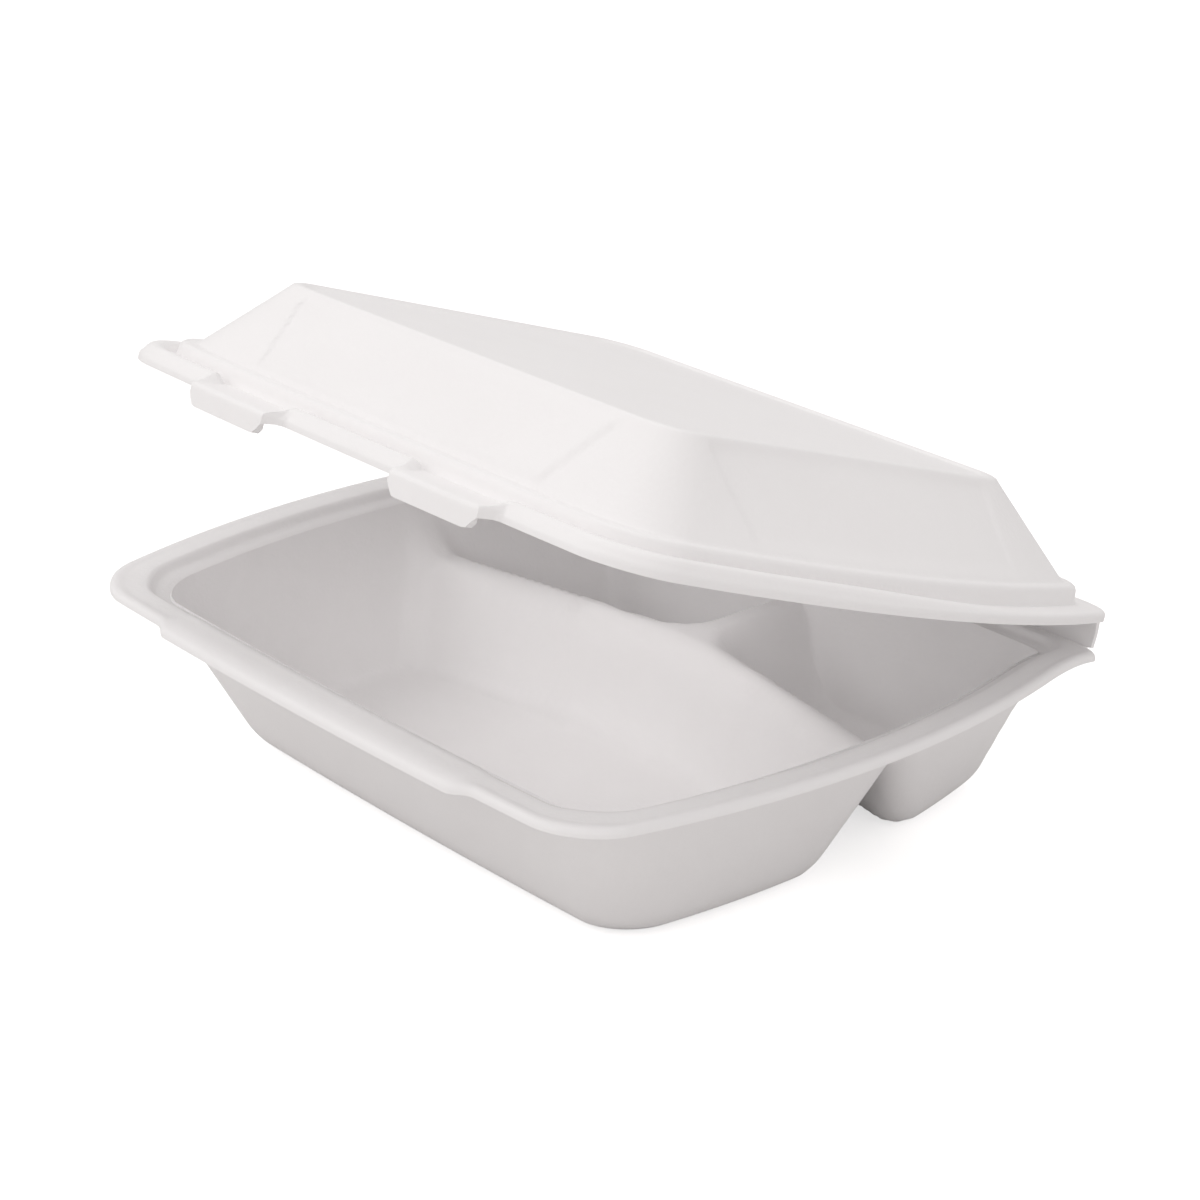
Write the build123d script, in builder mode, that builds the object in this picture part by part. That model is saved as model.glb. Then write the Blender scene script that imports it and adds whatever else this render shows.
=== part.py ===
"""Hinged three-compartment foam food container, lid ajar.

Frame: millimetres, +Z up. The origin is on the table, under the middle of the
tray's rim, with the latch side towards -Y and the hinge towards +Y.
"""
import os
from math import cos, radians, sin, tan

from build123d import *

# ---------------------------------------------------------------- sizes
RIM_WIDTH = 235.0        # over the rim, at its widest
RIM_DEPTH = 206.0        # from the latch edge to the hinge edge
SIDE_BOW = 17.0          # how far each side swells between its corners
FRONT_BOW = 2.5          # how far the latch edge swells
FRONT_CORNER = 21.0      # corner radii of the rim
BACK_CORNER = 13.0

TRAY_HEIGHT = 52.0       # table to the top of the tray's rim
FOAM = 2.6               # wall of the moulded sheet
RIM_EDGE = 3.2           # thickness of the trimmed rim
RIM_BAND = 9.5           # width of the flat rim
LEDGE_WIDTH = 5.5        # sloping ledge inside the rim
LEDGE_DROP = 4.0
WALL_DRAFT = 28.0        # degrees off vertical, front and sides
BACK_DRAFT = 13.0        # at the hinge side
DIVIDER_DRAFT = 24.0     # both faces of each divider
FOOT_BEVEL = 5.0         # height of the softened edge round each floor
FOOT_TURN = 4.0          # how far that edge turns in

DIVIDER_TOP = 33.0       # height of the dividers above the table
DIVIDER_WIDTH = 9.0      # across the flat top of a divider
DIVIDER_SWEEP = 11.0     # degrees that each arm slopes towards the latch side
APEX_Y = 32.0            # top front edge of the dividers, on the centre line
APEX_ROUND = 16.0
POCKET_ROUND = 15.0      # corners of the compartments, at the divider's height
POCKET_FOOT_ROUND = 7.0
POCKET_STEP = 0.8        # small step in the wall at the divider's height

LANDING_WIDTH = 126.0    # raised landing in the middle of the latch edge
LANDING_REACH = 3.0
LANDING_RAISE = 0.8
LANDING_ROUND = 3.0

LID_GAP = 0.3            # between the closed lid and the landing
SHOULDER_RISE = 5.0      # rounded shoulder inside the lid's rim
SHOULDER_BAND = 8.0
SHOULDER_WIDTH = 4.8
LID_RISE = 31.5          # lid's rim to its top
TOP_HALF_WIDTH = 79.5
TOP_FRONT_INSET = 31.0   # from the rim's edge to the top, at the latch side
TOP_BACK_INSET = 33.0
TOP_CORNER = 12.0

TAB_SPACING = 84.0       # between the middles of the two latch tabs
TAB_WIDTH = 34.0
TAB_SIDE = 60.0          # slope of a tab's two sides, in degrees
TAB_DROP = 5.0
TAB_THICK = 2.0
TAB_GAP = 0.5            # tab to the landing's edge

HINGE_LENGTH = 176.0
HINGE_THICK = 1.6
HINGE_GAP = 0.3          # crease clearance between the strip and either half
HINGE_DIP = 8.0          # the tray's rim bends down towards the hinge
DIP_LENGTH = 38.0
LID_OPEN = 18.0          # how far the lid stands open, in degrees
STRIP_SHARE = 0.5        # part of that turn taken by the tray's crease

# ------------------------------------------------------- worked-out places
half_depth = RIM_DEPTH / 2
wall_skin = FOAM / cos(radians(WALL_DRAFT))
wall_top = TRAY_HEIGHT - LEDGE_DROP
lid_base = TRAY_HEIGHT + LANDING_RAISE + LID_GAP
crease_y = half_depth + HINGE_GAP + HINGE_THICK / 2
tray_crease_z = TRAY_HEIGHT - HINGE_DIP - RIM_EDGE / 2
lid_crease_z = lid_base + RIM_EDGE / 2
strip_turn = LID_OPEN * STRIP_SHARE
divider_slope = tan(radians(DIVIDER_SWEEP))
OVERLAP = 1.0            # how far cutters run past the faces they open


def wall_inset(z):
    """Distance from the rim's edge to the inner wall at a height."""
    return RIM_BAND + LEDGE_WIDTH + (wall_top - z) * tan(radians(WALL_DRAFT))


def back_inset(z):
    """The same distance at the steeper hinge side."""
    return RIM_BAND + LEDGE_WIDTH + (wall_top - z) * tan(radians(BACK_DRAFT))


def half_width(y, inset):
    """Half the width of the bowed outline at a distance along it."""
    return RIM_WIDTH / 2 - SIDE_BOW * (y / half_depth) ** 2 - inset


def side_points(start, end, inset):
    """Three points of the right side, from one distance to another."""
    middle = (start + end) / 2
    return [(half_width(y, inset), y) for y in (start, middle, end)]


def mirrored(points):
    """The same points on the left side, taken the other way round."""
    return [(-x, y) for x, y in reversed(points)]


def bowed_outline(inset, back, front_round, back_round):
    """Closed plan with bowed sides, drawn in from the rim's edge."""
    front_y = FRONT_BOW + inset - half_depth
    right = side_points(front_y, half_depth - back, inset)
    left = mirrored(right)
    with BuildSketch(mode=Mode.PRIVATE) as outline:
        with BuildLine():
            ThreePointArc(left[2], (0, front_y - FRONT_BOW), right[0])
            ThreePointArc(*right)
            Line(right[2], left[0])
            ThreePointArc(*left)
        make_face()
        fillet(outline.vertices().group_by(Axis.Y)[0], front_round)
        fillet(outline.vertices().group_by(Axis.Y)[-1], back_round)
    return outline.sketch


def pocket_round(z, grow):
    """Corner radius of a compartment at a height."""
    share = (z - FOAM) / (DIVIDER_TOP - FOAM)
    return POCKET_FOOT_ROUND + share * (POCKET_ROUND - POCKET_FOOT_ROUND) + grow


def main_pocket(z, grow=0.0, turn_in=0.0):
    """Plan of the large front compartment at a height."""
    shift = turn_in - grow
    inset = wall_inset(z) + POCKET_STEP + shift
    front_y = FRONT_BOW + inset - half_depth
    apex_y = APEX_Y - (DIVIDER_TOP - z) * tan(radians(DIVIDER_DRAFT)) - shift
    back_y = apex_y - divider_slope * half_width(0, inset)
    right = side_points(front_y, back_y, inset)
    left = mirrored(right)
    with BuildSketch(mode=Mode.PRIVATE) as outline:
        with BuildLine():
            ThreePointArc(left[2], (0, front_y - FRONT_BOW), right[0])
            ThreePointArc(*right)
            Polyline(right[2], (0, apex_y), left[0])
            ThreePointArc(*left)
        make_face()
        fillet(outline.vertices().group_by(Axis.Y)[-1], APEX_ROUND)
        fillet(outline.vertices().group_by(Axis.Y)[0], pocket_round(z, grow))
        fillet(outline.vertices().group_by(Axis.X)[0], pocket_round(z, grow))
        fillet(outline.vertices().group_by(Axis.X)[-1], pocket_round(z, grow))
    return outline.sketch


def side_pocket(z, grow=0.0, turn_in=0.0):
    """Plan of the small compartment at the back right, at a height."""
    shift = turn_in - grow
    draft = (DIVIDER_TOP - z) * tan(radians(DIVIDER_DRAFT)) + shift
    inset = wall_inset(z) + POCKET_STEP + shift
    inner_x = DIVIDER_WIDTH / 2 + draft
    arm_y = APEX_Y + DIVIDER_WIDTH + draft
    back_y = half_depth - back_inset(z) - POCKET_STEP - shift
    right = side_points(arm_y - divider_slope * half_width(0, inset), back_y, inset)
    with BuildSketch(mode=Mode.PRIVATE) as outline:
        with BuildLine():
            Line((inner_x, arm_y - divider_slope * inner_x), right[0])
            ThreePointArc(*right)
            Polyline(right[2], (inner_x, back_y), (inner_x, arm_y - divider_slope * inner_x))
        make_face()
        fillet(outline.vertices(), pocket_round(z, grow))
    return outline.sketch


def lofted(levels, plan):
    """Solid through the plans at several heights, with straight walls between."""
    with BuildPart(mode=Mode.PRIVATE) as body:
        for z in levels:
            with BuildSketch(Plane.XY.offset(z)):
                add(plan(z))
        loft(ruled=True)
    return body.part


def ledge_inset(z):
    """Inset of the space above the dividers: wall, then ledge, up to the rim."""
    if z <= wall_top:
        return wall_inset(z)
    return RIM_BAND + (TRAY_HEIGHT - z) * LEDGE_WIDTH / LEDGE_DROP


def upper_space(z, grow=0.0):
    """Plan of the open space above the dividers, at a height."""
    inset = ledge_inset(z) - grow
    back = min(inset, back_inset(z) - grow)
    return bowed_outline(inset, back, FRONT_CORNER, BACK_CORNER)


def bent_slab(low, high, drop_low):
    """Slab across the whole width whose faces bend down at the hinge."""
    start = -RIM_DEPTH
    turn = half_depth - DIP_LENGTH
    end = half_depth
    with BuildPart(mode=Mode.PRIVATE) as slab:
        with BuildSketch(Plane.YZ):
            with BuildLine():
                Polyline((turn, low), (start, low), (start, high), (turn, high))
                TangentArc((turn, high), (end, high - HINGE_DIP), tangent=(1, 0))
                if drop_low:
                    TangentArc((turn, low), (end, low - drop_low), tangent=(1, 0))
                else:
                    Line((turn, low), (end, low))
                Line((end, low - drop_low), (end, high - HINGE_DIP))
            make_face()
        extrude(amount=RIM_WIDTH, both=True)
    return slab.part


# ------------------------------------------------------------------- tray
tray_rim = bent_slab(TRAY_HEIGHT - RIM_EDGE, TRAY_HEIGHT, HINGE_DIP)
below_rim = bent_slab(-OVERLAP, TRAY_HEIGHT, 0)
foot_levels = (0, FOOT_BEVEL, DIVIDER_TOP - FOAM)
hollow_levels = (FOAM, FOAM + FOOT_BEVEL, DIVIDER_TOP)


def foot_turn(z, floor):
    """How far the softened foot has turned in at a height above its floor."""
    return FOOT_TURN if z == floor else 0.0


main_shell = lofted(foot_levels, lambda z: main_pocket(z, wall_skin, foot_turn(z, 0)))
side_shell = lofted(foot_levels, lambda z: side_pocket(z, wall_skin, foot_turn(z, 0)))
main_hollow = lofted(hollow_levels, lambda z: main_pocket(z, 0, foot_turn(z, FOAM)))
side_hollow = lofted(hollow_levels, lambda z: side_pocket(z, 0, foot_turn(z, FOAM)))

side_shells = (side_shell, mirror(side_shell, about=Plane.YZ))
side_hollows = (side_hollow, mirror(side_hollow, about=Plane.YZ))
upper_shell = lofted((DIVIDER_TOP - FOAM, wall_top, TRAY_HEIGHT), lambda z: upper_space(z, wall_skin))
upper_hollow = lofted((DIVIDER_TOP, wall_top, TRAY_HEIGHT + OVERLAP), upper_space)

with BuildPart() as tray:
    with BuildSketch():
        add(bowed_outline(0, 0, FRONT_CORNER, BACK_CORNER))
    extrude(amount=TRAY_HEIGHT)
    add(tray_rim, mode=Mode.INTERSECT)
    add(upper_shell)
    add(main_shell)
    add(side_shells)
    add(below_rim, mode=Mode.INTERSECT)
    with BuildSketch(Plane.XY.offset(TRAY_HEIGHT - RIM_EDGE)) as landing:
        with Locations((0, -half_depth - LANDING_REACH)):
            Rectangle(LANDING_WIDTH, LANDING_REACH + RIM_BAND, align=(Align.CENTER, Align.MIN))
        fillet(landing.vertices(), LANDING_ROUND)
    extrude(amount=RIM_EDGE + LANDING_RAISE)
    add(upper_hollow, mode=Mode.SUBTRACT)
    add(main_hollow, mode=Mode.SUBTRACT)
    add(side_hollows, mode=Mode.SUBTRACT)

# -------------------------------------------------------------------- lid
shoulder_top = lid_base + RIM_EDGE + SHOULDER_RISE
lid_top = lid_base + LID_RISE
dome_inset = SHOULDER_BAND + SHOULDER_WIDTH


def dome_plan(z, shrink=0.0):
    """Plan of the lid's dome at its foot or its top, drawn in by the wall."""
    if z < (shoulder_top + lid_top) / 2:
        inset = dome_inset + shrink
        return bowed_outline(inset, inset, FRONT_CORNER, BACK_CORNER)
    front = TOP_FRONT_INSET + shrink - half_depth
    back = half_depth - TOP_BACK_INSET - shrink
    with BuildSketch(mode=Mode.PRIVATE) as outline:
        with Locations((0, (front + back) / 2)):
            RectangleRounded(2 * (TOP_HALF_WIDTH - shrink), back - front, TOP_CORNER)
    return outline.sketch


def shoulder_plan(inset):
    """Plan of the rounded shoulder, drawn in from the rim's edge."""
    return bowed_outline(inset, inset, FRONT_CORNER, BACK_CORNER)


tab_face_y = -half_depth - LANDING_REACH - TAB_GAP
tab_places = [(side * TAB_SPACING / 2, tab_face_y) for side in (-1, 1)]
dome_shell = lofted((shoulder_top, lid_top), dome_plan)
dome_hollow = lofted((shoulder_top - FOAM, lid_top - FOAM), lambda z: dome_plan(z, wall_skin))

with BuildPart() as closed_lid:
    with BuildSketch(Plane.XY.offset(lid_base)):
        add(shoulder_plan(0))
    extrude(amount=RIM_EDGE)
    with BuildSketch(Plane.XY.offset(lid_base)):
        add(shoulder_plan(SHOULDER_BAND))
    extrude(amount=shoulder_top - lid_base)
    add(dome_shell)
    with BuildSketch(Plane.XY.offset(lid_base - OVERLAP)):
        add(shoulder_plan(SHOULDER_BAND + FOAM))
    extrude(amount=shoulder_top - FOAM - lid_base + OVERLAP, mode=Mode.SUBTRACT)
    add(dome_hollow, mode=Mode.SUBTRACT)
    with BuildSketch(Plane.XY.offset(lid_base)):
        with Locations(*tab_places):
            reach = LANDING_REACH + TAB_GAP + SHOULDER_BAND
            Rectangle(TAB_WIDTH, reach, align=(Align.CENTER, Align.MIN))
    extrude(amount=RIM_EDGE)
    with BuildSketch(Plane.XZ.offset(-tab_face_y)):
        with Locations(*[(x, lid_base + RIM_EDGE - (TAB_DROP + RIM_EDGE) / 2) for x, _ in tab_places]):
            Trapezoid(TAB_WIDTH, TAB_DROP + RIM_EDGE, TAB_SIDE, rotation=180)
    extrude(amount=TAB_THICK)

# ------------------------------------------------------------ hinge strip
with BuildPart() as closed_strip:
    with BuildSketch(Plane.YZ):
        with Locations((crease_y, (tray_crease_z + lid_crease_z) / 2)):
            SlotCenterToCenter(lid_crease_z - tray_crease_z, HINGE_THICK, rotation=90)
    extrude(amount=HINGE_LENGTH / 2, both=True)

# -------------------------------------------------- standing open, as kept
tray_crease = Axis((0, crease_y, tray_crease_z), (-1, 0, 0))
lid_crease = Axis((0, crease_y, lid_crease_z), (-1, 0, 0))
lid_part = closed_lid.part.rotate(lid_crease, LID_OPEN - strip_turn).rotate(tray_crease, strip_turn)
strip_part = closed_strip.part.rotate(tray_crease, strip_turn)

os.makedirs("parts", exist_ok=True)
tray.part.label = "tray"
export_step(tray.part, "parts/tray.step")
strip_part.label = "hinge_strip"
export_step(strip_part, "parts/hinge_strip.step")
lid_part.label = "lid"
export_step(lid_part, "parts/lid.step")
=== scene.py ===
"""Looks of a hinged three-compartment foam food container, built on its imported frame.

Sizes are millimetres in the frame's own directions: the table is z = 0, the latch
side faces -y and the hinge is towards +y. Meshes are written in metres.
"""

import logging
import math
from dataclasses import dataclass
from enum import Enum

import bmesh
import bpy
import numpy as np
from mathutils import Matrix, Vector


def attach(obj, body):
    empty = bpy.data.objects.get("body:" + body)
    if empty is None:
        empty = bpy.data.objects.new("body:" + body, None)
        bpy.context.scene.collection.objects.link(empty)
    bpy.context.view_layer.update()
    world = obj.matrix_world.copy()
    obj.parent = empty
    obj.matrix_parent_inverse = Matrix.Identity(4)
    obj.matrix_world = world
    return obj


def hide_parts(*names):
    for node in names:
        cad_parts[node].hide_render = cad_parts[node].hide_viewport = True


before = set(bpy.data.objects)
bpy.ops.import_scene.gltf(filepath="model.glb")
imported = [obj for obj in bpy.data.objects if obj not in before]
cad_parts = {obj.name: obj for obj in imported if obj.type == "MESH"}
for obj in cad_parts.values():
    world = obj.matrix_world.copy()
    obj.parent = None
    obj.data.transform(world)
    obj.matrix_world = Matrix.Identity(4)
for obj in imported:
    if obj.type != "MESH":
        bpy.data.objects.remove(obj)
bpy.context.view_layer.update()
MM = 0.001
LOG = logging.getLogger("foam_container")


class Body(Enum):
    """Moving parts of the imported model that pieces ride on."""

    TRAY = "tray"
    HINGE = "hinge_strip"
    LID = "lid"


class FoamSkin(Enum):
    """How hard the sheet was pressed: open foam walls, or a flattened hinge."""

    MOULDED = "foam"
    PRESSED = "pressed_foam"


def ease(start: float, end: float, value: np.ndarray) -> np.ndarray:
    """Smooth step from 0 at start to 1 at end."""
    share = np.clip((value - start) / (end - start), 0.0, 1.0)
    return share * share * (3.0 - 2.0 * share)


def round_min(first: np.ndarray, second: np.ndarray, radius: float) -> np.ndarray:
    """Smaller of two distances, with a true arc of that radius where they meet."""
    gap = np.clip(first - second, -radius, radius)
    arc = (first + second) / 2 - radius + np.sqrt(2 * radius**2 - gap**2) / 2
    return np.where(np.abs(first - second) < radius, arc, np.minimum(first, second))


def round_max(first: np.ndarray, second: np.ndarray, radius: float) -> np.ndarray:
    """Larger of two heights, with an arc of that radius in the corner."""
    return -round_min(-first, -second, radius)


@dataclass(frozen=True)
class BowedPlan:
    """Plan that both halves share: bowed sides and rounded corners.

    Args:
        width: Over the rim at its widest.
        depth: From the latch edge to the hinge edge.
        side_bow: How far each side swells between its corners.
        front_bow: How far the latch edge swells.
        front_corner: Corner radius at the latch side.
        back_corner: Corner radius at the hinge side.
        middle_y: Where the rings close, on the centre line.
    """

    width: float = 235.0
    depth: float = 206.0
    side_bow: float = 17.0
    front_bow: float = 2.5
    front_corner: float = 15.0
    back_corner: float = 9.5
    middle_y: float = -18.0

    def distance_in(
        self, x: np.ndarray, y: np.ndarray, knee: float, side_ease: float, back_ease: float
    ) -> np.ndarray:
        """Distance in from the rim's edge.

        Args:
            x: Across.
            y: Towards the hinge.
            knee: Distance at which the walls begin.
            side_ease: How many times steeper the sides are than the latch side.
            back_ease: How many times steeper the hinge side is.

        Returns:
            The distance, with the corners rounded.
        """
        half = self.depth / 2
        side = self.width / 2 - self.side_bow * (y / half) ** 2 - np.abs(x)
        side = np.where(side > knee, knee + (side - knee) * side_ease, side)
        front = y + half - self.front_bow * np.clip(np.abs(x) / 98.0, 0, 1) ** 2
        back = half - y
        back = np.where(back > knee, knee + (back - knee) * back_ease, back)
        return round_min(round_min(side, front, self.front_corner), back, self.back_corner)

    def rings(
        self, angles: np.ndarray, levels: np.ndarray, knee: float, side_ease: float, back_ease: float
    ) -> tuple[np.ndarray, np.ndarray]:
        """Points of equal distance in from the edge, one ring for each level.

        Args:
            angles: Directions seen from the middle.
            levels: Distances in from the edge.
            knee: As in distance_in.
            side_ease: As in distance_in.
            back_ease: As in distance_in.

        Returns:
            Their x and y, with one row for each level.
        """
        low = np.zeros((len(levels), len(angles)))
        high = np.full_like(low, 200.0)
        for _ in range(36):
            reach = (low + high) / 2
            x, y = reach * np.cos(angles), reach * np.sin(angles) + self.middle_y
            inside = self.distance_in(x, y, knee, side_ease, back_ease) > levels[:, None]
            low, high = np.where(inside, reach, low), np.where(inside, high, reach)
        return low * np.cos(angles), low * np.sin(angles) + self.middle_y

    def even_angles(self, count: int) -> np.ndarray:
        """Directions that step evenly along the rim, the first repeated at the end."""
        fine = np.linspace(-math.pi / 2, 1.5 * math.pi, 6001)
        x, y = self.rings(fine, np.zeros(1), 1e3, 1.0, 1.0)
        run = np.concatenate([[0.0], np.cumsum(np.hypot(np.diff(x[0]), np.diff(y[0])))])
        return np.interp(np.linspace(0, run[-1], count + 1), run, fine)


@dataclass(frozen=True)
class Sheet:
    """A moulded sheet: rings of points, given a thickness and smooth shading.

    Args:
        name: Name of the piece.
        thickness: Of the foam, laid inwards from the rings.
        sharp_degrees: Edges that turn more than this stay crisp.
    """

    name: str
    thickness: float
    sharp_degrees: float = 50.0

    def make(
        self, x: np.ndarray, y: np.ndarray, z: np.ndarray, place: Matrix
    ) -> bpy.types.Object:
        """Closed piece from rings of points.

        Args:
            x: Across, one row for each ring from the rim inwards.
            y: Towards the hinge.
            z: Upwards.
            place: Turn and shift from the moulded to the standing position.

        Returns:
            The finished object at the origin.
        """
        rows, columns = x.shape
        made = bmesh.new()
        bmesh.ops.create_grid(
            made, x_segments=columns - 1, y_segments=rows - 1, size=1.0, calc_uvs=True
        )
        chart = made.loops.layers.uv.verify()
        step = np.hypot(np.diff(x[0]), np.diff(y[0]))
        around = np.concatenate([[0.0], np.cumsum(step)]) * MM
        inwards = np.sqrt(np.diff(x, axis=0) ** 2 + np.diff(y, axis=0) ** 2 + np.diff(z, axis=0) ** 2)
        across = np.concatenate([[0.0], np.cumsum(inwards.mean(axis=1))]) * MM
        for face in made.faces:
            for loop in face.loops:
                column = round((loop.vert.co.x + 1) / 2 * (columns - 1))
                row = round((loop.vert.co.y + 1) / 2 * (rows - 1))
                loop[chart].uv = (around[column], across[row])
        for vertex in made.verts:
            column = round((vertex.co.x + 1) / 2 * (columns - 1))
            row = round((vertex.co.y + 1) / 2 * (rows - 1))
            vertex.co = (x[row, column] * MM, y[row, column] * MM, z[row, column] * MM)
        bmesh.ops.remove_doubles(made, verts=made.verts, dist=2e-6)
        bmesh.ops.transform(made, matrix=place, verts=made.verts)
        bmesh.ops.recalc_face_normals(made, faces=made.faces)
        up = sum((face.normal.z * face.calc_area() for face in made.faces))
        if up < 0:
            bmesh.ops.reverse_faces(made, faces=made.faces)
        return self.thicken(made)

    def thicken(self, made: bmesh.types.BMesh) -> bpy.types.Object:
        """Object with the foam's thickness below the shaped surface.

        Args:
            made: The shaped surface, facing outwards.

        Returns:
            The closed piece, smoothly shaded.
        """
        mesh = bpy.data.meshes.new(self.name)
        made.to_mesh(mesh)
        made.free()
        piece = bpy.data.objects.new(self.name, mesh)
        bpy.context.scene.collection.objects.link(piece)
        wall = piece.modifiers.new("foam", "SOLIDIFY")
        wall.thickness = self.thickness * MM
        wall.offset = -1.0
        wall.use_even_offset = False
        bpy.context.view_layer.update()
        ready = piece.evaluated_get(bpy.context.evaluated_depsgraph_get())
        solid = bpy.data.meshes.new_from_object(ready)
        piece.modifiers.clear()
        piece.data = solid
        bpy.data.meshes.remove(mesh)
        solid.name = self.name
        solid.shade_smooth()
        solid.set_sharp_from_angle(angle=math.radians(self.sharp_degrees))
        return piece


class Term:
    """A shader socket, or the number it stands for, that takes part in sums."""

    def __init__(self, net: "Net", source: object) -> None:
        """Args: net, the material being wired; source, an output socket or a number."""
        self.net = net
        self.source = source

    def _with(self, operation: str, *values: object) -> "Term":
        """One Math node on these values."""
        return self.net.node("ShaderNodeMath", {"operation": operation}, dict(enumerate(values)))

    def __add__(self, other: object) -> "Term":
        """Sum."""
        return self._with("ADD", self, other)

    __radd__ = __add__

    def __sub__(self, other: object) -> "Term":
        """Difference."""
        return self._with("SUBTRACT", self, other)

    def __rsub__(self, other: object) -> "Term":
        """Difference, taken from a number."""
        return self._with("SUBTRACT", other, self)

    def __mul__(self, other: object) -> "Term":
        """Product."""
        return self._with("MULTIPLY", self, other)

    __rmul__ = __mul__

    def sine(self) -> "Term":
        """Sine of the value."""
        return self._with("SINE", self)

    def below(self, limit: float) -> "Term":
        """1 where the value is under the limit, otherwise 0."""
        return self._with("LESS_THAN", self, limit)


class Net:
    """The node tree of one material."""

    def __init__(self, name: str) -> None:
        """Args: name, of the new material."""
        self.material = bpy.data.materials.new(name)
        self.material.use_nodes = True
        self.tree = self.material.node_tree
        self.shader = self.tree.nodes["Principled BSDF"]
        self.surface = self.tree.nodes["Material Output"].inputs["Surface"]

    def node(
        self, kind: str, settings: dict[str, object], values: dict, output: object = 0
    ) -> Term:
        """Adds a node.

        Args:
            kind: Type of the node.
            settings: Its own properties, set first.
            values: Numbers or links for its sockets.
            output: Which of its outputs is used.

        Returns:
            That output.
        """
        added = self.tree.nodes.new(kind)
        for key, value in settings.items():
            setattr(added, key, value)
        for key, value in values.items():
            self.give(added.inputs[key], value)
        return Term(self, added.outputs[output])

    def give(self, socket: bpy.types.NodeSocket, value: object) -> None:
        """Links a value to a socket, or sets it."""
        source = value.source if isinstance(value, Term) else value
        if isinstance(source, bpy.types.NodeSocket):
            self.tree.links.new(source, socket)
        else:
            socket.default_value = source

    def place(self) -> Term:
        """Position on the piece."""
        return self.node("ShaderNodeTexCoord", {}, {}, "Object")

    def noise(self, place: Term, scale: float, detail: float, rough: float = 0.5) -> Term:
        """Cloudy noise, from 0 to 1."""
        values = {"Vector": place, "Scale": scale, "Detail": detail, "Roughness": rough}
        return self.node("ShaderNodeTexNoise", {}, values, "Fac")

    def blend(self, share: Term, first: tuple, second: tuple) -> Term:
        """Colour between two others."""
        settings = {"data_type": "RGBA"}
        return self.node("ShaderNodeMix", settings, {0: share, 6: first, 7: second}, 2)

    def bump(self, height: Term, depth: float, under: object = None) -> Term:
        """Normal raised by a height, over an earlier bump."""
        values = {"Height": height, "Distance": depth, "Strength": 1.0}
        if under is not None:
            values["Normal"] = under
        return self.node("ShaderNodeBump", {}, values, "Normal")


@dataclass(frozen=True)
class Foam:
    """Finish of the white foam sheet.

    Args:
        skin: How hard the sheet was pressed.
        light: Colour of the cell walls where the sheet is thick.
        dull: Colour of the faint clouds in the sheet.
        grain: Depth of the cell grain in millimetres.
        sheen: Roughness of the skin.
        ribs: Depth of the fine marks on the trimmed edge, in millimetres.
        cloud_scale: Clouds a metre.
        grain_scale: Fine grains a metre.
        cell_scale: Foam cells a metre.
        patch_scale: Patches of stronger and weaker grain a metre.
        rib_pitch: From one trim mark to the next in millimetres.
        rib_band: Height of the trimmed edge that the marks cover in millimetres.
    """

    skin: FoamSkin
    light: tuple = (0.95, 0.94, 0.94, 1.0)
    dull: tuple = (0.92, 0.905, 0.905, 1.0)
    grain: float = 0.05
    sheen: float = 0.42
    ribs: float = 0.35
    cloud_scale: float = 38.0
    grain_scale: float = 900.0
    cell_scale: float = 620.0
    patch_scale: float = 90.0
    rib_pitch: float = 1.6
    rib_band: float = 0.9

    def material(self) -> bpy.types.Material:
        """Wires the finish: clouds, cell grain, skin gloss and trim marks."""
        net = Net(self.skin.value)
        place = net.place()
        clouds = net.noise(place, self.cloud_scale, 3.0)
        net.give(net.shader.inputs["Base Color"], net.blend(clouds, self.dull, self.light))
        fine = net.noise(place, self.grain_scale, 2.0, 0.6)
        cells = net.node(
            "ShaderNodeTexVoronoi", {"feature": "F1"},
            {"Vector": place, "Scale": self.cell_scale}, "Distance",
        )
        patches = net.noise(place, self.patch_scale, 2.0)
        net.give(net.shader.inputs["Roughness"], patches * 0.14 + (self.sheen - 0.07))
        grain = (fine + cells * 0.8) * (0.45 + patches * 1.1)
        normal = net.bump(grain, self.grain * MM)
        chart = net.node("ShaderNodeUVMap", {"uv_map": "UVMap"}, {})
        parts = net.node("ShaderNodeSeparateXYZ", {}, {0: chart}, "X")
        inwards = Term(net, parts.source.node.outputs["Y"])
        marks = (parts * (math.tau / (self.rib_pitch * MM))).sine() * inwards.below(self.rib_band * MM)
        net.give(net.shader.inputs["Normal"], net.bump(marks, self.ribs * MM, normal))
        net.give(net.shader.inputs["IOR"], 1.45)
        net.give(net.shader.inputs["Specular IOR Level"], 0.42)
        return net.material


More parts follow.
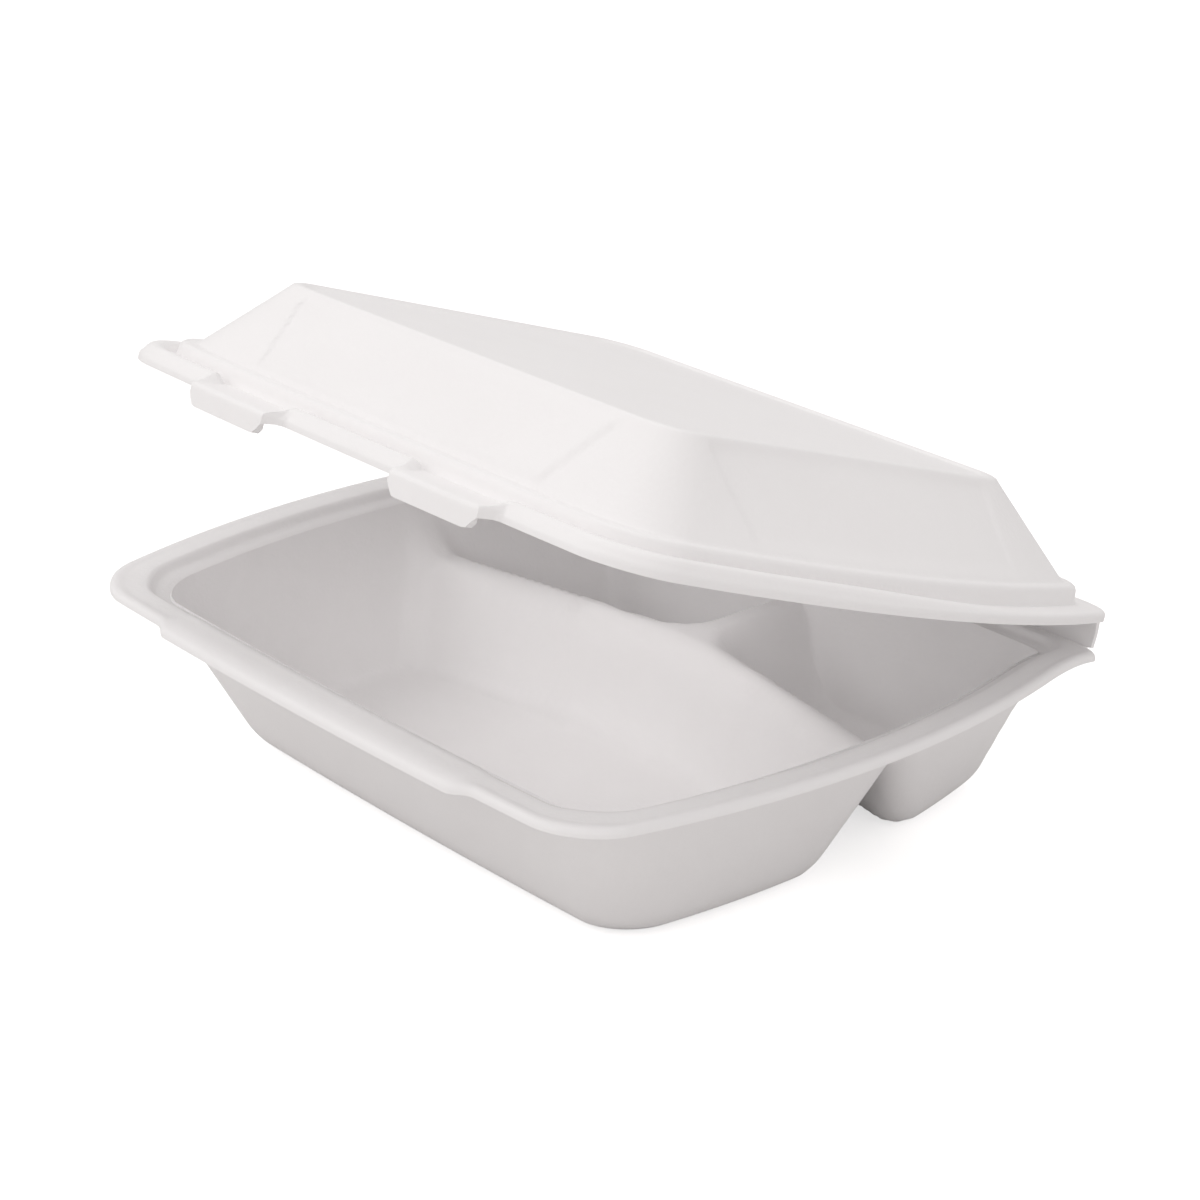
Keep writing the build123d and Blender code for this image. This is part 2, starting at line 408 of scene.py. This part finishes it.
@dataclass
class Tray:
    """Bottom half: rim, latch landing, sloped walls and two dividers."""

    plan: BowedPlan
    rim_top: float = 52.0
    foam: float = 2.6
    columns: int = 520
    rim_profile: tuple = (
        (0.0, -2.4), (0.0, -1.5), (0.25, -0.75), (0.8, -0.2), (1.5, 0.0), (2.4, -0.02),
        (3.2, -0.3), (4.0, -0.42), (5.4, -0.42), (7.0, -0.4), (8.4, -0.4), (9.2, -0.6),
        (9.9, -1.4), (10.5, -2.4), (11.3, -3.0), (12.8, -3.5), (14.0, -4.0), (14.7, -4.6),
    )
    knee: float = 15.0
    wall_top: float = 48.0
    wall_draft: float = 28.0
    side_draft: float = 22.0
    back_draft: float = 10.0
    wall_rings: int = 30
    floor_rings: int = 30
    divider_top: float = 33.0
    divider_width: float = 9.0
    divider_draft: float = 24.0
    divider_sweep: float = 11.0
    apex_y: float = 32.0
    apex_ease: float = 5.0
    corner_round: float = 9.0
    pocket_round: float = 13.0
    floor_round: float = 7.0
    hinge_dip: float = 8.0
    dip_length: float = 38.0
    landing_half: float = 63.0
    landing_reach: float = 3.0
    landing_raise: float = 0.8

    def steeper(self, draft: float) -> float:
        """How many times steeper a wall of that draft is than the latch side."""
        return math.tan(math.radians(self.wall_draft)) / math.tan(math.radians(draft))

    def divider_depth(self, x: np.ndarray, y: np.ndarray) -> np.ndarray:
        """Depth below the dividers' top, from their sloped faces alone.

        Args:
            x: Across.
            y: Towards the hinge.

        Returns:
            The depth, 0 on top of a divider.
        """
        slope = math.tan(math.radians(self.divider_draft))
        sweep = math.tan(math.radians(self.divider_sweep))
        front = self.apex_y - sweep * (np.hypot(x, self.apex_ease * 2) - self.apex_ease * 2)
        main = (front - y) / slope
        behind = (y - front - self.divider_width) / slope
        rib = (np.abs(x) - self.divider_width / 2) / slope
        pocket = round_min(behind, rib, self.pocket_round / slope)
        return round_max(np.maximum(main, pocket), np.zeros_like(x), 6.0)

    def inside_height(self, x: np.ndarray, y: np.ndarray) -> np.ndarray:
        """Height of the inside surface below the ledge.

        Args:
            x: Across.
            y: Towards the hinge.

        Returns:
            The height above the table.
        """
        slope = math.tan(math.radians(self.wall_draft))
        sides, back = self.steeper(self.side_draft), self.steeper(self.back_draft)
        inset = self.plan.distance_in(x, y, self.knee, sides, back)
        wall = self.wall_top - (inset - self.knee) / slope
        ridge = self.divider_top - self.divider_depth(x, y)
        sides = round_max(wall, ridge, self.corner_round / slope)
        return round_max(sides, np.full_like(x, self.foam), self.floor_round)

    def build(self) -> bpy.types.Object:
        """Moulds the tray from rings that run from the rim to the floor.

        Returns:
            The tray as one closed piece.
        """
        angles = self.plan.even_angles(self.columns)
        rim_in = np.array([inset for inset, _ in self.rim_profile])
        slope = math.tan(math.radians(self.wall_draft))
        foot = self.knee + (self.wall_top - self.foam) * slope
        wall_in = np.linspace(self.knee, foot, self.wall_rings)
        levels = np.concatenate([rim_in, wall_in])
        sides, back = self.steeper(self.side_draft), self.steeper(self.back_draft)
        x, y = self.plan.rings(angles, levels, self.knee, sides, back)
        shrink = np.linspace(1, 0, self.floor_rings + 1)[1:, None]
        x = np.vstack([x, x[-1] * shrink])
        y = np.vstack([y, (y[-1] - self.plan.middle_y) * shrink + self.plan.middle_y])
        z = self.inside_height(x, y)
        count = len(rim_in)
        landing = ease(self.landing_half + 3.5, self.landing_half - 3.5, np.abs(x[:count]))
        landing = landing * (y[:count] < 0)
        rim = np.array([height for _, height in self.rim_profile])[:, None]
        plain = np.clip(rim, -10.0, 0.0)
        flat = np.where((rim_in[:, None] > 1.2) & (rim_in[:, None] < 9.0), 0.0, rim)
        slanted = flat - ease(4.0, 0.0, rim_in)[:, None] * 1.2
        rim = plain + landing * (slanted - plain + self.landing_raise * ease(9.6, 8.6, rim_in)[:, None])
        bend = np.clip((y - (self.plan.depth / 2 - self.dip_length)) / self.dip_length, 0, 1) ** 2
        depth_in = np.concatenate([levels, np.full(self.floor_rings, foot)])[:, None]
        drop = self.hinge_dip * bend * ease(30.0, 14.0, depth_in)
        z[:count] = self.rim_top + rim
        z = z - drop
        y[:count] -= landing * self.landing_reach * ease(9.6, 1.0, rim_in)[:, None]
        return Sheet("tray_shell", self.foam).make(x, y, z, Matrix.Identity(4))


@dataclass
class Lid:
    """Top half: flange, bead with two latch gates, shoulder, dome and top plate."""

    plan: BowedPlan
    base: float = 53.1
    foam: float = 2.4
    columns: int = 620
    skirt_rings: int = 7
    flange_profile: tuple = (
        (0.15, 2.4), (0.6, 2.9), (1.2, 3.05), (1.8, 3.1), (2.4, 3.1), (3.2, 3.1), (4.0, 3.1),
        (4.8, 3.1), (5.6, 3.1), (6.2, 3.05), (7.0, 3.0), (7.8, 3.1), (8.2, 3.8), (8.4, 5.4),
        (8.6, 6.9), (9.0, 7.7), (9.6, 8.1), (10.4, 8.2), (11.4, 8.2), (12.3, 8.3),
    )
    bead_start: float = 1.0
    bead_end: float = 6.2
    bead_height: float = 2.5
    foot_inset: float = 12.8
    foot_height: float = 8.8
    wall_rings: int = 18
    top_edge: tuple = (
        (0.4, 31.1), (1.0, 31.4), (1.8, 31.5), (2.6, 31.4), (3.2, 31.0), (3.8, 30.7), (5.0, 30.6),
    )
    top_half_width: float = 79.5
    top_front: float = -72.0
    top_back: float = 70.0
    top_corner: float = 13.0
    wall_height: float = 30.5
    plate_rings: int = 8
    tab_middle: float = 42.0
    tab_half: float = 17.0
    tab_tip_half: float = 13.0
    tab_drop: float = 3.4
    tab_reach: float = 5.5
    panel_raise: float = 1.0

    def top_ring(self, angles: np.ndarray, inset: np.ndarray) -> tuple[np.ndarray, np.ndarray]:
        """Rounded outline of the top plate.

        Args:
            angles: Directions seen from the middle.
            inset: Distances in from the outline, one for each ring.

        Returns:
            Their x and y, with one row for each inset.
        """
        low = np.zeros((len(inset), len(angles)))
        high = np.full_like(low, 200.0)
        for _ in range(36):
            reach = (low + high) / 2
            x, y = reach * np.cos(angles), reach * np.sin(angles) + self.plan.middle_y
            side = self.top_half_width - np.abs(x)
            inside = np.minimum(y - self.top_front, self.top_back - y)
            inside = round_min(side, inside, self.top_corner) > inset[:, None]
            low, high = np.where(inside, reach, low), np.where(inside, high, reach)
        return low * np.cos(angles), low * np.sin(angles) + self.plan.middle_y

    def panels(self, x: np.ndarray, y: np.ndarray, share: np.ndarray) -> tuple:
        """Raised panels of the dome's walls.

        Args:
            x: Across.
            y: Towards the hinge.
            share: Height up the wall, from 0 to 1.

        Returns:
            How far each point moves across and along.
        """
        body = ease(0.04, 0.10, share) * ease(1.0, 0.9, share)
        front_half = 56.0 + 8.0 * share
        front = ease(front_half, front_half - 1.6, np.abs(x)) * (y < self.plan.middle_y - 40)
        start = -53.0 - 7.0 * share
        side = ease(start, start + 1.6, y) * ease(55.0, 53.4, y) * (np.abs(x) > 60)
        push = self.panel_raise * body
        return -0.7 * push * side * np.sign(x), -push * front

    def build(self, place: Matrix) -> bpy.types.Object:
        """Moulds the lid from rings that run from the trimmed edge to the top.

        Args:
            place: From the closed to the standing position.

        Returns:
            The lid as one closed piece.
        """
        angles = self.plan.even_angles(self.columns)
        skirt = np.linspace(0, 1, self.skirt_rings)
        flange_in = np.array([inset for inset, _ in self.flange_profile])
        levels = np.concatenate([np.zeros(self.skirt_rings), flange_in, [self.foot_inset]])
        x, y = self.plan.rings(angles, levels, 1e3, 1.0, 1.0)
        heights = np.concatenate(
            [np.zeros(self.skirt_rings), [height for _, height in self.flange_profile], [self.foot_height]]
        )
        z = np.repeat(heights[:, None], len(angles), axis=1)
        count = self.skirt_rings + len(flange_in)
        off_tab = np.abs(np.abs(x[:count]) - self.tab_middle)
        at_front = y[:count] < -90
        gate = ease(self.tab_half + 1.2, self.tab_half - 1.0, off_tab) * at_front
        hang = ease(self.tab_half, self.tab_tip_half, off_tab) * at_front
        low = 0.3 - (self.tab_drop + 0.3) * hang[: self.skirt_rings]
        z[: self.skirt_rings] = low + (1.7 - low) * skirt[:, None]
        across = (levels[:count] - self.bead_start) / (self.bead_end - self.bead_start)
        bead = np.sqrt(np.clip(1 - (2 * across - 1) ** 2, 0, 1))[:, None] * self.bead_height
        fade = ease(60.0, -40.0, y[:count])
        z[:count] += bead * (1 - gate) * fade
        slope_in = ease(7.8, 0.0, levels[:count])[:, None]
        y[:count] -= gate * self.tab_reach * slope_in
        top_in = np.concatenate([[0.0], [inset for inset, _ in self.top_edge]])
        top_x, top_y = self.top_ring(angles, top_in)
        share = np.linspace(0, 1, self.wall_rings + 1)[1:, None]
        wall_x = x[-1] + (top_x[0] - x[-1]) * share
        wall_y = y[-1] + (top_y[0] - y[-1]) * share
        wall_z = np.repeat(self.foot_height + (self.wall_height - self.foot_height) * share, len(angles), axis=1)
        push_x, push_y = self.panels(wall_x, wall_y, np.broadcast_to(share, wall_x.shape))
        shrink = np.linspace(1, 0, self.plate_rings + 1)[1:, None]
        plate_x = top_x[-1] * shrink
        plate_y = (top_y[-1] - self.plan.middle_y) * shrink + self.plan.middle_y
        crown = np.repeat(self.top_edge[-1][1] + 0.7 * (1 - shrink**2), len(angles), axis=1)
        edge_z = np.repeat(np.array([height for _, height in self.top_edge])[:, None], len(angles), axis=1)
        x = np.vstack([x, wall_x + push_x, top_x[1:], plate_x])
        y = np.vstack([y, wall_y + push_y, top_y[1:], plate_y])
        z = np.vstack([z, wall_z, edge_z, crown]) + self.base
        return Sheet("lid_shell", self.foam).make(x, y, z, place)


@dataclass
class Hinge:
    """Pressed fold that joins the two halves along the back."""

    length: float = 190.0
    crease_y: float = 104.1
    tray_crease: float = 42.4
    lid_crease: float = 54.7
    bulge: float = 0.9
    thickness: float = 1.3
    turn: float = 9.0
    steps: int = 14
    columns: int = 121

    def about(self, height: float, degrees: float) -> Matrix:
        """Turn about a crease, which lifts the latch side.

        Args:
            height: Of the crease.
            degrees: Size of the turn.

        Returns:
            The turn in metres.
        """
        middle = Matrix.Translation(Vector((0, self.crease_y, height)) * MM)
        return middle @ Matrix.Rotation(math.radians(degrees), 4, (-1, 0, 0)) @ middle.inverted()

    def strip_place(self) -> Matrix:
        """From the closed strip to the standing strip."""
        return self.about(self.tray_crease, self.turn)

    def lid_place(self) -> Matrix:
        """From the closed lid to the standing lid."""
        return self.strip_place() @ self.about(self.lid_crease, self.turn)

    def strip(self) -> bpy.types.Object:
        """The fold's spine, bulging a little between its creases.

        Returns:
            The closed spine.
        """
        across = np.linspace(0, 1, self.steps)[:, None]
        along = np.linspace(-0.5, 0.5, self.columns)[None, :] * self.length
        ends = 1 - ease(self.length / 2 - 5, self.length / 2, np.abs(along)) * 0.22
        x = np.repeat(along, self.steps, axis=0)
        y = self.crease_y + self.thickness / 2 + self.bulge * np.sin(math.pi * across) * ends
        middle = (self.tray_crease + self.lid_crease) / 2
        z = middle + (self.lid_crease - self.tray_crease + 1.0) * (across - 0.5) * ends
        made = bmesh.new()
        bmesh.ops.create_grid(
            made, x_segments=self.columns - 1, y_segments=self.steps - 1, size=1.0, calc_uvs=True
        )
        for vertex in made.verts:
            column = round((vertex.co.x + 1) / 2 * (self.columns - 1))
            row = round((vertex.co.y + 1) / 2 * (self.steps - 1))
            vertex.co = Vector((x[row, column], y[row, column], z[row, column])) * MM
        bmesh.ops.transform(made, matrix=self.strip_place(), verts=made.verts)
        if sum(face.normal.y for face in made.faces) < 0:
            bmesh.ops.reverse_faces(made, faces=made.faces)
        return Sheet("hinge_spine", self.thickness).thicken(made)


@dataclass
class Studio:
    """Pale floor, soft lights and the camera."""

    camera_turn: float = 46.33
    camera_rise: float = 22.71
    camera_roll: float = 2.354
    camera_range: float = 808.6
    aim: tuple = (-5.0, 6.5, 50.0)
    lens: float = 85.458
    surround: tuple = (1.0, 0.978, 0.972, 1.0)
    surround_strength: float = 0.62
    ground: tuple = (0.8, 0.79, 0.785, 1.0)
    ground_glow: float = 0.62

    def camera(self) -> bpy.types.Object:
        """Camera at a low three-quarter view from the latch side."""
        turn, rise, roll = (math.radians(v) for v in (self.camera_turn, self.camera_rise, self.camera_roll))
        back = Vector(
            (math.sin(turn) * math.cos(rise), -math.cos(turn) * math.cos(rise), math.sin(rise))
        )
        right = Vector((0, 0, 1)).cross(back).normalized()
        up = back.cross(right)
        across = math.cos(roll) * right + math.sin(roll) * up
        above = -math.sin(roll) * right + math.cos(roll) * up
        eye = (Vector(self.aim) + back * self.camera_range) * MM
        data = bpy.data.cameras.new("camera")
        data.lens = self.lens
        data.sensor_width = 36.0
        data.clip_start = 0.01
        camera = bpy.data.objects.new("camera", data)
        camera.matrix_world = Matrix.Translation(eye) @ Matrix((across, above, back)).transposed().to_4x4()
        bpy.context.scene.collection.objects.link(camera)
        bpy.context.scene.camera = camera
        return camera

    def lamp(
        self, name: str, eye: tuple, size: float, watts: float, colour: tuple, aim: tuple = (0, 0, 0.05)
    ) -> None:
        """Soft square lamp aimed at the object.

        Args:
            name: Of the lamp.
            eye: Its place in metres.
            size: Its side in metres.
            watts: Its power.
            colour: Its colour.
            aim: Where it points.
        """
        data = bpy.data.lights.new(name, "AREA")
        data.size = size
        data.energy = watts
        data.color = colour
        lamp = bpy.data.objects.new(name, data)
        towards = Vector(aim) - Vector(eye)
        lamp.matrix_world = Matrix.Translation(eye) @ towards.to_track_quat("-Z", "Y").to_matrix().to_4x4()
        lamp.visible_camera = False
        bpy.context.scene.collection.objects.link(lamp)

    def lights(self) -> None:
        """Keys from the latch side and the left, fills, and what the thin lid lets through."""
        self.lamp("key", (-1.15, -0.95, 1.05), 0.8, 4.0, (1.0, 0.995, 0.99))
        self.lamp("front", (-0.05, -1.4, 0.95), 0.8, 2.4, (1.0, 0.995, 0.99))
        self.lamp("side", (1.15, -0.8, 0.8), 1.0, 2.0, (1.0, 0.965, 0.958))
        self.lamp("top", (-0.3, 0.5, 1.6), 1.3, 6.5, (1.0, 0.99, 0.985))
        self.lamp("lid_glow", (0.0, 0.0, 0.064), 0.11, 0.014, (1.0, 0.98, 0.98), (0.0, 0.0, 0.0))

    def world(self) -> None:
        """Plain pale surroundings, white behind the object."""
        world = bpy.data.worlds.new("surround")
        bpy.context.scene.world = world
        world.use_nodes = True
        tree = world.node_tree
        sky = tree.nodes["Background"]
        sky.inputs["Color"].default_value = self.surround
        sky.inputs["Strength"].default_value = self.surround_strength
        white = tree.nodes.new("ShaderNodeBackground")
        white.inputs["Strength"].default_value = 1.0
        path = tree.nodes.new("ShaderNodeLightPath")
        mix = tree.nodes.new("ShaderNodeMixShader")
        tree.links.new(path.outputs["Is Camera Ray"], mix.inputs[0])
        tree.links.new(sky.outputs[0], mix.inputs[1])
        tree.links.new(white.outputs[0], mix.inputs[2])
        tree.links.new(mix.outputs[0], tree.nodes["World Output"].inputs["Surface"])

    def floor(self) -> None:
        """Pale floor that keeps the object's shadow."""
        made = bmesh.new()
        bmesh.ops.create_grid(made, x_segments=4, y_segments=4, size=6.0)
        mesh = bpy.data.meshes.new("floor")
        made.to_mesh(mesh)
        made.free()
        floor = bpy.data.objects.new("floor", mesh)
        bpy.context.scene.collection.objects.link(floor)
        net = Net("pale_floor")
        net.give(net.shader.inputs["Base Color"], self.ground)
        net.give(net.shader.inputs["Roughness"], 0.9)
        net.give(net.shader.inputs["Specular IOR Level"], 0.0)
        seen = net.node("ShaderNodeLightPath", {}, {}, "Is Camera Ray")
        glow = net.node(
            "ShaderNodeEmission", {}, {"Color": (1.0, 1.0, 1.0, 1.0), "Strength": seen * self.ground_glow}
        )
        both = net.node("ShaderNodeAddShader", {}, {0: Term(net, net.shader.outputs[0]), 1: glow})
        net.give(net.surface, both)
        mesh.materials.append(net.material)


def dress(piece: bpy.types.Object, body: Body, finish: bpy.types.Material) -> None:
    """Gives a piece its finish and its place on the frame.

    Args:
        piece: The finished mesh.
        body: The moving part that it rides on and stands for.
        finish: Its material.
    """
    piece.data.materials.clear()
    piece.data.materials.append(finish)
    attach(piece, body.value)
    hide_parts(body.value)
    LOG.info("%s: %d faces", piece.name, len(piece.data.polygons))


def main() -> None:
    """Builds each half, the hinge and the studio."""
    logging.basicConfig(level=logging.INFO, format="%(name)s %(message)s")
    plan = BowedPlan()
    hinge = Hinge()
    moulded = Foam(FoamSkin.MOULDED).material()
    pressed = Foam(FoamSkin.PRESSED, grain=0.02, sheen=0.34, ribs=0.0).material()
    dress(Tray(plan).build(), Body.TRAY, moulded)
    dress(Lid(plan).build(hinge.lid_place()), Body.LID, moulded)
    dress(hinge.strip(), Body.HINGE, pressed)
    studio = Studio()
    studio.camera()
    studio.lights()
    studio.world()
    studio.floor()
    bpy.context.scene.view_settings.view_transform = "Standard"
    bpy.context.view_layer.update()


if __name__ == "__main__":
    main()
